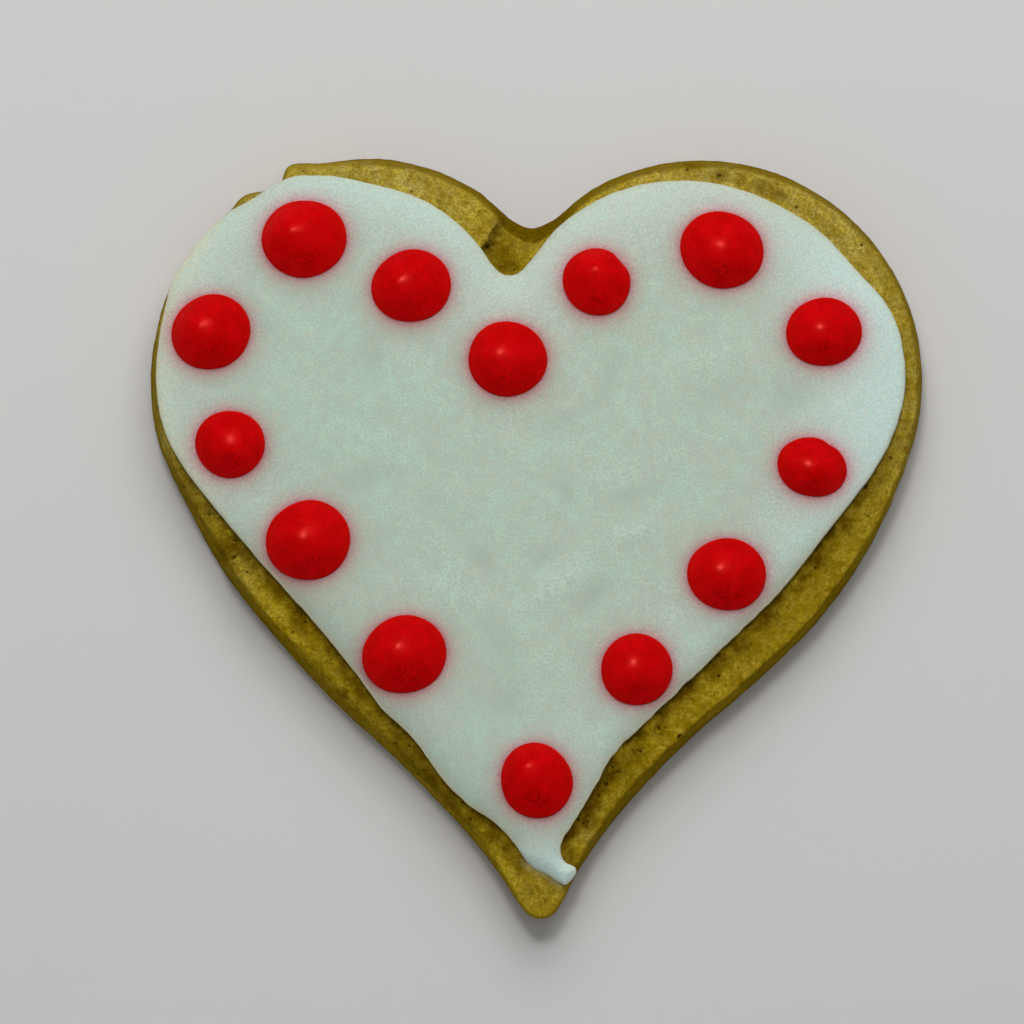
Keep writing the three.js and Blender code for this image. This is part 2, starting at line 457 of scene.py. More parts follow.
def dough_rings():
    """The dough's side: rings from the foot to the top of the shoulder."""
    normals = blurred(inward(dough_outline), 3.5)
    lean, shoulder = outline_lean, outline_shoulder
    edge = dough_outline + normals * (lean + shoulder)[:, None]
    shoulder_start = dough_top(edge) - shoulder
    rings = []

    def add_ring(inset, height):
        ring = dough_outline + normals * (inset + np.zeros(len(lean)))[:, None]
        rings.append(np.column_stack([ring, height + np.zeros(len(lean))]))

    add_ring(FOOT_RADIUS + 0.5, 0.0)
    for turn in np.radians(np.linspace(270, 180, 6)):
        add_ring(FOOT_RADIUS * (1 + math.cos(turn)), FOOT_RADIUS * (1 + math.sin(turn)))
    for rise in np.linspace(0, 1, 22)[1:-1]:
        bulge = 0.1 * math.sin(math.pi * rise)
        add_ring(lean * rise - bulge * rise, FOOT_RADIUS + (shoulder_start - FOOT_RADIUS) * rise)
    for turn in np.radians(np.linspace(0, 75, 6)):
        add_ring(lean + shoulder * (1 - math.cos(turn)), shoulder_start + shoulder * math.sin(turn))
    return rings


def by_a_step(points):
    """1 at the two small steps in the rim, falling to 0 around them."""
    return np.maximum(near(points, LEDGE, 0.8), near(points, CLEFT_STEP, 1.4))


def dough_piece(material):
    """The dough, with fine points where it shows and finer ones at the two steps."""
    rng = np.random.default_rng(11)
    rings = dough_rings()
    last = rings[-1][:, :2]
    clear = 0.6 * DOUGH_STEP
    grid = hex_grid(dough_outline, DOUGH_STEP, rng)
    shown = depth_inside(icing_outline, grid) < 1.2
    grid = grid[(depth_inside(last, grid) > clear) & shown]
    finer = hex_grid(dough_outline, 0.5 * DOUGH_STEP, rng)
    finer = finer[(by_a_step(finer) > 0.6) & (depth_inside(last, finer) > clear)]
    grid = np.vstack([grid[by_a_step(grid) < 0.55], finer])
    coarse = inner_grid(dough_outline, HIDDEN_STEP, 2.6, rng)
    coarse = coarse[depth_inside(icing_outline, coarse) > 1.9]
    under = inner_grid(dough_outline, BASE_STEP, FOOT_RADIUS + 0.85, rng)
    top_inner = np.vstack([grid, coarse])
    points, faces = shell(rings, top_inner, under, dough_top, lambda places: np.zeros(len(places)))
    mesh = new_mesh("baked_dough", points, faces)
    roughen_dough(mesh, points, rng)
    add_piece("baked_dough", mesh, "biscuit", material)


PITS = 260  # small pits scattered over the dough, as many again on its underside
LEAST_HOLE = 0.15  # radius of the smallest hole that the points can show

# Small holes in the rim: where they are in plan, and their radius.
HOLES = [
    (-32.8, 2.3, 0.12), (-30.1, -0.2, 0.16), (-28.9, -3.3, 0.14), (-24.3, -9.5, 0.12),
    (-23.0, -8.3, 0.16), (-14.2, -20.5, 0.14), (-12.7, -20.8, 0.12), (-11.2, -23.2, 0.12),
    (-11.2, -24.5, 0.17), (-10.3, -25.0, 0.2), (-6.7, -28.0, 0.14), (4.1, -28.1, 0.13),
    (4.7, -28.5, 0.14), (5.1, -28.3, 0.14), (5.0, -27.7, 0.12), (6.9, -24.6, 0.19), (7.7, -22.9, 0.11),
    (8.1, -23.3, 0.12), (6.3, -25.8, 0.14), (10.3, -21.3, 0.13), (12.3, -18.9, 0.14),
    (14.1, -19.85, 0.17), (14.35, -19.7, 0.17), (17.0, -12.2, 0.26), (17.7, -11.7, 0.2),
    (18.1, -13.8, 0.17), (27.9, -2.9, 0.14), (32.9, 5.1, 0.24), (35.4, 7.9, 0.12), (32.4, 29.3, 0.14),
    (26.0, 33.0, 0.16), (18.3, 36.2, 0.15), (15.8, 37.3, 0.17), (15.0, 36.9, 0.14), (-12.4, 34.6, 0.1),
    (-4.75, 29.05, 0.22), (-2.3, 26.9, 0.14),
]

# Browner patches of the rim, and painted shade at the foot of the cleft's step and in the hollow beside it:
# where they are in plan, their reach, and how strong they are.
BROWNED_AND_SHADED = [
    (36.3, 15.2, 0.5, 0.6), (29.6, 28.9, 0.3, 0.5), (24.0, 34.5, 0.5, 0.6), (20.5, 35.8, 0.4, 0.5),
    (0.9, -36.4, 0.3, 0.4), (-0.6, -35.3, 0.35, 0.4), (-1.6, -33.0, 0.3, 0.4),
    (1.6, -35.5, 0.25, 0.35), (33.6, 6.0, 0.6, 0.5), (30.6, 1.0, 0.5, 0.5), (20.6, -11.0, 0.7, 0.6),
    (10.2, -21.3, 0.6, 0.7), (27.9, -2.0, 1.0, 0.8), (23.1, -7.6, 1.2, 0.8), (17.2, -12.2, 1.3, 0.7),
    (12.3, -18.9, 0.6, 0.6), (7.9, -23.2, 0.85, 1.0), (5.5, -25.7, 0.6, 0.7), (6.9, -24.0, 0.5, 0.8),
    (6.6, -24.8, 0.5, 0.8), (4.6, -28.1, 0.85, 1.0), (5.6, -26.4, 0.7, 0.5), (6.2, -24.6, 0.5, 0.9),
    (3.4, -31.2, 0.4, 0.5), (-4.5, -30.0, 0.4, 0.8), (-3.0, -31.0, 0.4, 0.6), (-11.0, -25.0, 3.0, 0.5),
    (-19.3, -15.4, 0.6, 0.9), (-18.0, -16.0, 4.0, 0.35), (-23.6, -8.2, 0.7, 0.8),
    (-30.1, -0.6, 0.6, 0.9), (-31.0, -1.2, 0.9, 0.8), (-29.2, -1.2, 0.6, 0.9), (-33.5, 4.0, 2.0, 0.3),
    (18.4, 36.2, 0.5, 0.9), (22.5, 34.9, 0.9, 0.5), (15.4, 37.2, 0.5, 0.6), (-9.5, 33.0, 0.6, 0.4),
    # These two lines: painted shade along the foot of the cleft's step and in the hollow beside it.
    (-4.75, 29.0, 0.5, 1.0), (-4.3, 29.6, 0.5, 0.9), (-4.0, 30.3, 0.4, 0.8), (-3.7, 31.0, 0.35, 0.6),
    (-3.4, 28.4, 1.2, 0.7), (-2.8, 27.2, 1.2, 0.8), (-3.1, 27.6, 0.4, 0.7),
]

# Paler stretches of the dough: where they are in plan, their reach, and how strong they are. The two at
# (-3.9, 31.5) and (-5.0, 30.1) are a painted highlight on the nose of the cleft's step.
PALE = [
    (-15.0, 36.5, 7.5, 1.0), (17.0, 37.0, 9.0, 0.92), (30.0, 30.0, 8.0, 1.0), (37.0, 16.0, 8.0, 0.68),
    (0.4, -36.0, 2.8, 0.35), (-28.9, 33.9, 1.2, 1.0), (-37.7, 21.0, 4.0, 0.8), (-37.3, 11.0, 4.5, 0.8),
    (-34.5, 4.5, 3.0, 0.45), (5.3, -29.8, 0.7, 0.7), (-29.4, -3.3, 1.0, 0.8), (-3.9, 31.5, 0.5, 1.0),
    (-5.0, 30.1, 0.4, 1.0), (-0.5, 29.3, 0.9, 0.6), (0.4, 29.4, 0.5, 0.5), (-1.5, 28.9, 0.35, 1.0),
    (-2.2, 29.4, 0.3, 0.6),
]

# Stretches of the wall that are no darker than the top: where, their reach, and how strong they are.
PALE_WALL = [
    (*CHIP_STEP, 1.6, 0.9), (-22.0, 37.4, 3.2, 0.9), (-29.3, 33.9, 1.3, 1.0), (-37.9, 21.5, 5.0, 0.9),
    (-36.5, 9.0, 6.0, 0.75), (-33.0, 1.0, 4.5, 0.5), (37.0, 12.0, 7.0, 0.45), (*TIP, 3.0, 0.7),
]


def spread_marks(points, marks):
    """The strongest of the marks at each point: 1 in the middle of a strong one, 0 away from them all."""
    ragged = 1 + 0.35 * bumps(points[:, :2], 0.8, 9)
    total = np.zeros(len(points))
    for x, y, reach, strength in marks:
        gap = np.linalg.norm(points[:, :2] - (x, y), axis=1) * ragged
        total = np.maximum(total, strength * np.exp(-0.5 * (gap / reach) ** 2))
    return total


def wall_shade(points, inside_wall, upper):
    """How far the wall's darker crust shows: most in the notch, and little along the soft flank."""
    ragged = 0.13 * bumps(points, 0.9, 44) + 0.06 * bumps(points, 0.4, 47)
    soft = soft_flank(points)
    wall = 1 - ramp((inside_wall - 0.1 + ragged) / (1 + 3 * soft), 0, 0.28)
    wall = (1 - upper * (1 - wall)) * (1 - spread_marks(points, PALE_WALL)) * (1 - 0.8 * soft)
    return wall * (0.44 + 0.14 * ramp(points[:, 1], 20, 30) + 0.45 * near(points, NOTCH, 3.2))


def sunk_holes(points, base, under_icing, rng):
    """How far each point lies in a hole, from 0 to 1, and how deep it is sunk there, in mm."""
    shown = np.flatnonzero(~base & (under_icing < 0.3))
    marks = [(points[spot], rng.uniform(0.08, 0.18)) for spot in rng.choice(shown, PITS, replace=False)]
    marks += [(points[spot], rng.uniform(0.3, 0.8)) for spot in rng.choice(np.flatnonzero(base), PITS)]
    strengths = list(rng.uniform(0.2, 0.7, len(marks)))
    from_above = np.flatnonzero(points[:, 2] > 4)
    for x, y, radius in HOLES:
        gaps = np.linalg.norm(points[from_above, :2] - (x, y), axis=1)
        marks.append((points[from_above[np.argmin(gaps)]], max(radius, LEAST_HOLE)))
        strengths.append(1.0)
    tree = kdtree.KDTree(len(points))
    for number, point in enumerate(points):
        tree.insert(point, number)
    tree.balance()
    hole = np.zeros(len(points))
    dent = np.zeros(len(points))
    for (centre, radius), strength in zip(marks, strengths):
        reach = 1.7 * radius
        for _, found, gap in tree.find_range(centre, reach):
            hollow = strength * max(0.0, 1 - (gap / reach) ** 2)
            hole[found] = max(hole[found], hollow)
            dent[found] = max(dent[found], hollow ** 1.5 * radius * 0.8)
    return hole, dent


def browning_and_shade(points, under_icing, upper, wall):
    """How dark the dough is made: browner patches, a painted shadow of the icing's edge over the rim's lower
    half where it is also stained, and painted shade below the cleft's step.
    """
    brown_and_shade = spread_marks(points, BROWNED_AND_SHADED) * upper
    # Painted shadow of the icing's edge over the rim's lower half, which is also stained there.
    stain_and_shadow = (1 - ramp(-under_icing, 0.4, 2.3)) * ramp(points[:, 1], 14, -2)
    stain_and_shadow *= 1 + 0.30 * (points[:, 0] > 0)
    stain_and_shadow *= np.clip(0.78 + 1.2 * bumps(points, 1.4, 45), 0.15, 1.25) * (1 - near(points, TIP, 4))
    # Painted shade below the cleft's step is laid over all of it.
    return 1 - (1 - brown_and_shade) * (1 - 0.75 * stain_and_shadow * upper * (1 - wall)) * (1 - 0.8 * step_shade(points))


def paleness(points, depth, wall):
    """How pale the dough is: in the pale stretches, two of them a painted highlight on the nose of the
    cleft's step, and on the slab below the left flank's step.
    """
    beside, _ = beside_line(points, LEDGE, LEDGE_ALONG)
    slab = ramp(beside, -0.06, 0.08) * (1 - ramp(beside, 1.5, 7)) * (points[:, 0] < -15)
    slab *= (1 - ramp(depth, 1.2, 2.2)) * (1 - wall)
    return np.maximum(spread_marks(points, PALE), 0.6 * slab) * (1 - 0.7 * near(points, CLEFT_HOLLOW, 1.6))


def icing_film(points, under_icing):
    """How far a smeared film of icing covers the dough beside the run at the tip."""
    smear = np.exp(-((under_icing / 0.45) ** 2)) * ramp(points[:, 1], -31.6, -32.6)
    return smear * ramp(points[:, 0], 3.2, 2.4) * np.clip(0.6 + 1.2 * bumps(points, 0.7, 46), 0, 1)


def roughen_dough(mesh, points, rng):
    """Crumb relief and holes on the dough's surface, and its shades. Upper is 0 low on the wall."""
    under_icing = depth_inside(icing_outline, points)
    index, depth = nearest_on(dough_outline, points)
    base = points[:, 2] < 0.01
    upper = ramp(points[:, 2], 1.8, 4.2)
    wall = wall_shade(points, depth - outline_lean[index], upper)
    crumb = 0.03 * bumps(points, 1.1, 5) + 0.026 * bumps(points, 0.6, 6) + 0.035 * bumps(points, 2.6, 7)
    hole, dent = sunk_holes(points, base, under_icing, rng)
    move = crumb * (1 + 0.3 * wall) - dent
    move[base] = -0.5 * dent[base]
    moved = points + vertex_normals(mesh) * move[:, None]
    moved[:, 2] = np.maximum(moved[:, 2], 0)
    mesh.vertices.foreach_set("co", (moved * MM).ravel())
    mesh.update()
    baked = points[:, 2] + 0.9 * bumps(points, 3.5, 49) + 0.3 * bumps(points, 0.9, 50)
    set_attributes(mesh, {
        # Painted shade: the material darkens the holes, the pits and the crack nearly to black.
        "hole": np.maximum(hole, 0.7 * ledge_crack(points) * upper),
        "wall": wall,
        "ridge": 0.5 + 0.5 * rim_ridges(index, depth),
        # Browner patches, with painted shadow beside the icing's edge and painted shade at the cleft's step.
        "brown_and_shade": browning_and_shade(points, under_icing, upper, wall),
        "pale": paleness(points, depth, wall) * upper,
        "film": icing_film(points, under_icing) * upper,
        "gold": near(points, TIP, 3) * upper,
        "bake": 1 - ramp(baked, -0.3, 4.0),
    })


# ---- The icing ----

ICING_ROUND = 0.22  # radius of the icing's upper edge
LIP = 0.12  # how far the edge bulges past its foot
FOOT_SINK = 0.06  # how deep the edge's foot is set in the dough
UNDER_SINK = 0.05  # how deep the underside is set in the dough
THICKEST = 2.1  # how far the underside may lie below the icing's top
DROP_SURROUNDS = 9  # how far from a drop's middle its shade is worked out

# Marks the spreading knife left in the icing: the middle, the length, the width, the bearing in
# degrees of the length from +X, and the height, which is negative for a hollow.
KNIFE_MARKS = [
    (1.6, -5.0, 7.5, 1.9, 42, 0.13), (9.3, 0.4, 6.0, 1.6, 21, 0.07), (7.8, 6.3, 7.0, 2.2, 12, 0.04),
    (0.7, -12.2, 5.5, 2.6, 80, 0.06), (-9.1, -4.2, 7.0, 3.6, -30, 0.04),
    (-12.9, 17.8, 6.0, 2.6, -35, 0.07), (4.7, 15.8, 4.5, 2.4, 40, 0.04),
    (18.0, 18.2, 11.0, 2.4, 12, 0.04), (13.0, -8.0, 9.0, 2.6, 40, 0.03),
    (-2.0, 9.0, 9.0, 2.4, -60, 0.03), (5.8, -5.7, 4.6, 1.5, 40, -0.08),
    (0.4, -2.2, 3.4, 1.1, 45, -0.06), (-5.3, -2.4, 3.6, 1.3, -45, -0.07),
    (-3.2, -16.5, 4.2, 2.6, 5, -0.07), (-3.6, -10.3, 6.0, 2.0, -55, -0.05),
    (7.0, 15.8, 5.6, 1.9, 70, -0.06), (2.6, 11.7, 4.6, 1.8, 30, -0.06),
    (2.7, 4.8, 3.2, 1.4, -55, -0.07), (9.6, 4.2, 5.0, 1.5, 22, -0.07),
    (-16.3, 17.8, 4.6, 3.0, 60, -0.05), (-17.8, 5.5, 6.0, 2.2, 15, -0.05),
    (18.0, 14.0, 7.0, 2.6, 30, -0.04), (25.8, 14.0, 5.0, 3.0, 20, -0.09),
    (-8.5, 1.5, 8.0, 2.2, -50, -0.03),
]


def drop_shade(points):
    """How far each point in plan is from the nearest red drop in mm, and how far on its shaded side."""
    gap = np.full(len(points), np.inf)
    lee_shade = np.zeros(len(points))
    for outline in drop_outlines.values():
        away = points[:, :2] - outline.mean(0)
        close = np.flatnonzero(np.linalg.norm(away, axis=1) < DROP_SURROUNDS)
        reach = np.maximum(-depth_inside(outline, points[close]), 0)
        down = -away[close, 1] / (np.linalg.norm(away[close], axis=1) + 0.001)
        nearer = reach < gap[close]
        gap[close[nearer]] = reach[nearer]
        lee_shade[close[nearer]] = 0.5 + 0.5 * down[nearer]
    return gap, lee_shade


def lit_side(points):
    """0 along the lower flanks, 1 round the lobes."""
    return ramp(points[:, 1], -6, 8)


def icing_top(points):
    """The height of the icing's upper side at points in plan."""
    x, y = points[:, :2].T
    depth = np.maximum(depth_inside(icing_outline, points), 0)
    lobes = lit_side(points)
    steep = 0.48 * np.exp(-depth / 1.25) + 0.10 * np.exp(-depth / 0.5)
    gentle = 0.62 * np.exp(-depth / 3.2) + 0.10 * np.exp(-depth / 0.6)
    run = 0.6 * ramp(y, -30.5, -34.0)
    run += 0.3 * ramp(y, -31.0, -32.5) * np.exp(-depth / 0.5)
    # The knife followed the heart: its streaks rise to both sides from the middle.
    swept = np.column_stack([0.55 * x, y - 0.45 * np.hypot(x, 6)])
    wave = 0.06 * bumps(points, 11, 21) + 0.038 * bumps(swept, 3.2, 22) + 0.02 * bumps(swept, 1.5, 23)
    wave += knife_marks(points)
    calm = ramp(depth, 0.5, 3)
    return ICING_TOP - 0.07 - (1 - lobes) * steep - lobes * gentle - run + wave * calm


def knife_marks(points):
    """How far the knife's marks raise the icing at each point: negative in a hollow."""
    height = np.zeros(len(points))
    for x, y, length, width, bearing, rise in KNIFE_MARKS:
        turn = math.radians(bearing)
        gap = points[:, :2] - (x, y)
        along = (gap @ (math.cos(turn), math.sin(turn))) / (0.5 * length)
        across = (gap @ (-math.sin(turn), math.cos(turn))) / (0.65 * width)
        height += rise * np.exp(-(along ** 2) - across ** 2)
    return height


def icing_foot(points):
    """Where the icing's edge meets the dough, or hangs a little over its shoulder, in an even line."""
    hang = 1.3 - 0.45 * ramp(points[:, 1], -30.5, -32.5)
    foot = np.maximum(dough_top(points) - FOOT_SINK, icing_top(points) - hang)
    lowest = np.min([np.roll(foot, shift) for shift in range(-4, 5)], axis=0)
    return blurred(lowest[:, None], 4)[:, 0]


def icing_rings():
    """The icing's side: rings from its foot over its belly to the start of its upper side."""
    normals = blurred(inward(icing_outline), 2.4)
    foot = icing_foot(icing_outline + normals * LIP)
    brow = icing_top(icing_outline) - ICING_ROUND
    belly = foot + 0.55 * (brow - foot)

    def ring(inset, height):
        return np.column_stack([icing_outline + normals * inset, height])

    rings = [ring(LIP, foot)]
    for rise in (0.3, 0.6, 0.85):
        rings.append(ring(LIP * (1 - rise) ** 1.6, foot + (belly - foot) * rise))
    rings.append(ring(0.0, belly))
    for turn in np.radians([0, 20, 40, 60]):
        inset = ICING_ROUND * (1 - math.cos(turn))
        top = icing_top(icing_outline + normals * inset)
        rings.append(ring(inset, top - ICING_ROUND * (1 - math.sin(turn))))
    return rings


def rounded_icing_top(points):
    """The height of the icing's upper side, rounded down to its edge."""
    depth = np.clip(depth_inside(icing_outline, points), 0, ICING_ROUND)
    rounding = ICING_ROUND * (1 - np.sqrt(1 - (1 - depth / ICING_ROUND) ** 2))
    return icing_top(points) - rounding


def icing_underside(points):
    """The height of the icing's underside, which lies in the dough's upper side."""
    return np.maximum(dough_top(points) - UNDER_SINK, ICING_TOP - THICKEST)


def icing_piece(material):
    """The icing, with even points on its upper side and coarse ones on its underside."""
    rng = np.random.default_rng(23)
    rings = icing_rings()
    last = rings[-1][:, :2]
    inner = clear_rings(icing_outline, [0.28, 0.45, 0.65, 0.9, 1.2, 1.5])
    inner = inner[depth_inside(last, inner) > 0.08]
    top_inner = np.vstack([inner, inner_grid(icing_outline, ICED_STEP, 1.7, rng)])
    under = inner_grid(icing_outline, HIDDEN_STEP, LIP + 0.5, rng)
    points, faces = shell(rings, top_inner, under, rounded_icing_top, icing_underside)
    mesh = new_mesh("pale_icing", points, faces)
    set_attributes(mesh, icing_shades(points))
    add_piece("pale_icing", mesh, "icing", material)


def beside_edge(depth, reach, power=2):
    """1 at the icing's edge, falling to 0 further inside it than the reach."""
    return np.exp(-((depth / reach) ** power))


def icing_shades(points):
    """How far each of the icing's shades shows at each point; some of them are painted light and shade."""
    x, y = points[:, :2].T
    depth = np.maximum(depth_inside(icing_outline, points), 0)
    gap, lee_shade = drop_shade(points)
    lobes = lit_side(points)
    run = ramp(y, -29.6, -31.8)
    side = ramp(x, 18, 32) * ramp(y, 34, 25)
    left_flank = ramp(x, 4, -6) * (1 - lobes)
    right_flank = ramp(x, 0, 8) * ramp(y, 8, -4)
    upper_left = ramp(x, -4, -8) * ramp(x, -28, -23) * lobes
    # Painted sheen: near their edges the lobes, which face the light, are painted lighter and bluer.
    edge_sheen_and_run = beside_edge(depth, 4.8 + 0.9 * ramp(x, 2, 8) + 5.4 * side)
    edge_sheen_and_run *= lobes * (0.66 + 0.34 * side) * ramp(depth, -0.6, 0.7)
    # Bluer tints: the first, along the right lobe's side, is a painted reflection of bluish light.
    cool_tint_and_sheen = [
        0.9 * side * lobes * beside_edge(depth, 7.5),
        0.95 * run,
        0.5 * ramp(y, -13, -20),
        1.15 * right_flank * ramp(depth, 0.6, 2.0) * beside_edge(depth, 4.6),
        0.36 * upper_left * beside_edge(depth, 3.0),
    ]
    # Painted shade: near its edge, the icing along the lower flanks, which face away from the light, is
    # painted darker.
    flank_shade = np.maximum(left_flank * beside_edge(depth, 2.8, 1.2), 0.6 * right_flank * beside_edge(depth, 0.9))
    # Painted light: a cream line along the edges away from the light, standing in for light through the
    # icing's edge.
    outer_left = 0.45 * ramp(x, -29, -33) * ramp(y, 34, 30)
    edge = np.maximum(outer_left, 0.8 * (1 - lobes) * (1 - 0.5 * run))
    return {
        # Painted sheen on the lobes' lit edges, and the lighter run at the tip.
        "edge_sheen_and_run": np.maximum(edge_sheen_and_run, 0.9 * run),
        "core": ramp(depth, 4, 15),
        # Bluer tints, partly a painted reflection of bluish light on the right lobe's side.
        "cool_tint_and_sheen": np.max(cool_tint_and_sheen, axis=0),
        "warm": ramp(x, -29, -34) * beside_edge(depth, 2.2),
        "green": ramp(x, 2, -18) * ramp(y, -8, 2),
        # Painted light on the knife's raised marks and painted shade in its hollows, over their real relief.
        "mark": 10 * knife_marks(points) * ramp(depth, 0.5, 3),
        # Painted shade near the icing's edge along the lower flanks.
        "flank_shade": flank_shade * (1 - run),
        # Painted light along the edges away from the light.
        "edge": edge * beside_edge(depth, 0.20),
        "cream": beside_edge(depth, 0.42) * (1 - run),
        # Red round each drop: partly red dye bled into the icing, partly painted red light bounced off the
        # drop.
        "halo": np.exp(-gap / 0.62),
        # Painted shade on the icing below each drop.
        "lee_shade": lee_shade * np.exp(-gap / 1.25),
    }


# ---- The red drops ----

DROP_SIDES = 96
DROP_SECTION = 0.36  # how far up a drop its outline is taken
DROP_SLOPE = 0.50  # how steeply a drop rises to its tip
DROP_TIP = 3.4  # how far the rounding of the tip reaches, in mm
DROP_HEIGHT = 0.75  # as a share of the solid drop's height
DROP_EDGE = 0.26  # radius of a drop's rounded edge
DROP_SINK = 0.12  # how deep a drop's foot is set in the icing

drop_outlines = {
    name: resample(section(name, height_span(name)[0] + DROP_SECTION), 0.25, 0.3) for name in DROPS
}

# Where the tips of the 14 drops lie, from each drop's middle: the nozzle was drawn off to that side.
DROP_TIPS = [
    (-1.25, 0.7), (-1.05, 0.3), (-0.75, 0.25), (0.0, 1.15), (0.05, 0.15), (-0.2, 0.15), (-0.25, -0.1),
    (-0.55, 0.25), (-0.3, 0.15), (-0.9, 1.15), (-0.65, 0.3), (-0.5, 0.1), (0.0, 0.0), (-1.1, 0.4),
]

# A notch in a drop's edge: its bearing in degrees, half its width in degrees, and its depth.
DROP_NOTCHES = {"drop_04": (40, 15, 0.2), "drop_07": (52, 10, 0.13)}


def drop_reach(name, bearing, rng):
    """How far a drop's edge is from its middle on each bearing, a little uneven."""
    spokes = drop_outlines[name] - drop_outlines[name].mean(0)
    angles = np.arctan2(spokes[:, 1], spokes[:, 0])
    reach = np.interp(bearing, angles, np.linalg.norm(spokes, axis=1), period=2 * math.pi)
    for wave, size in ((2, 0.008), (3, 0.012), (5, 0.005)):
        reach *= 1 + size * rng.uniform(0.4, 1) * np.sin(wave * bearing + rng.uniform(0, 2 * math.pi))
    if name in DROP_NOTCHES:
        middle, width, cut = DROP_NOTCHES[name]
        off = (np.degrees(bearing) - middle + 180) % 360 - 180
        reach -= cut * np.exp(-((off / width) ** 2))
    return reach


def drop_piece(name, material, rng):
    """A drop: rings up its rounded edge, then towards its tip, which lies a little off its middle."""
    low, high = height_span(name)
    centre = drop_outlines[name].mean(0)
    tip = np.array(DROP_TIPS[DROPS.index(name)])
    bearing = np.linspace(0, 2 * math.pi, DROP_SIDES, endpoint=False)
    reach = drop_reach(name, bearing, rng)
    edge = reach[:, None] * np.column_stack([np.cos(bearing), np.sin(bearing)])
    outward = edge / reach[:, None]
    foot = icing_top(centre + edge * 0.97) - DROP_SINK
    belly = foot + DROP_SINK + 0.04
    rings = []
    for inset, rise in ((0.03, 0.0), (0.015, 0.4), (0.005, 0.75), (0.0, 1.0)):
        rings.append(np.column_stack([edge - outward * inset, foot + (belly - foot) * rise]))
    lean = math.degrees(math.atan(DROP_SLOPE))
    for turn in np.radians(np.linspace(0, 90 - lean, 7)[1:]):
        inset = DROP_EDGE * (1 - math.cos(turn))
        rings.append(np.column_stack([edge - outward * inset, belly + DROP_EDGE * math.sin(turn)]))
    brow = rings[-1]
    brow_edge, brow_height = brow[:, :2], brow[:, 2]
    top = low + DROP_HEIGHT * (high - low)
    blunt = DROP_TIP / reach.mean()
    for share in np.linspace(1, 0, 26)[1:-1]:
        part = (math.hypot(1, blunt) - math.hypot(share, blunt)) / (math.hypot(1, blunt) - blunt)
        place = tip + (brow_edge - tip) * share
        rings.append(np.column_stack([place, brow_height + (top - brow_height) * part]))
    points = np.vstack([*rings, [[*tip, top]], [[0, 0, foot.mean()]]])
    points[:, :2] += centre
    upper = points[:, 2] > belly.max() + 0.1
    points[:, 2] += upper * 0.045 * bumps(points, 2.6, 31 + DROPS.index(name))
    last = (len(rings) - 1) * DROP_SIDES
    apex, base = len(points) - 2, len(points) - 1
    faces = strip(len(rings), DROP_SIDES).tolist()
    for side in range(DROP_SIDES):
        following = (side + 1) % DROP_SIDES
        faces.append([last + side, last + following, apex])
        faces.append([following, side, base])
    piece_name = name.replace("drop", "red_drop")
    mesh = new_mesh(piece_name, points, faces)
    out = (points[:, :2] - centre) / reach.mean()
    set_attributes(mesh, {
        # Read by the material, which paints each drop's rim a lighter red as painted light.
        "spread": np.linalg.norm(out, axis=1),
        # A painted dark reflection and shade on the lower middle of each drop.
        "dark_reflection": np.exp(-((out[:, 0] - 0.05) / 0.38) ** 2 - ((out[:, 1] + 0.5) / 0.26) ** 2),
    })
    add_piece(piece_name, mesh, name, material)


# ---- Materials ----

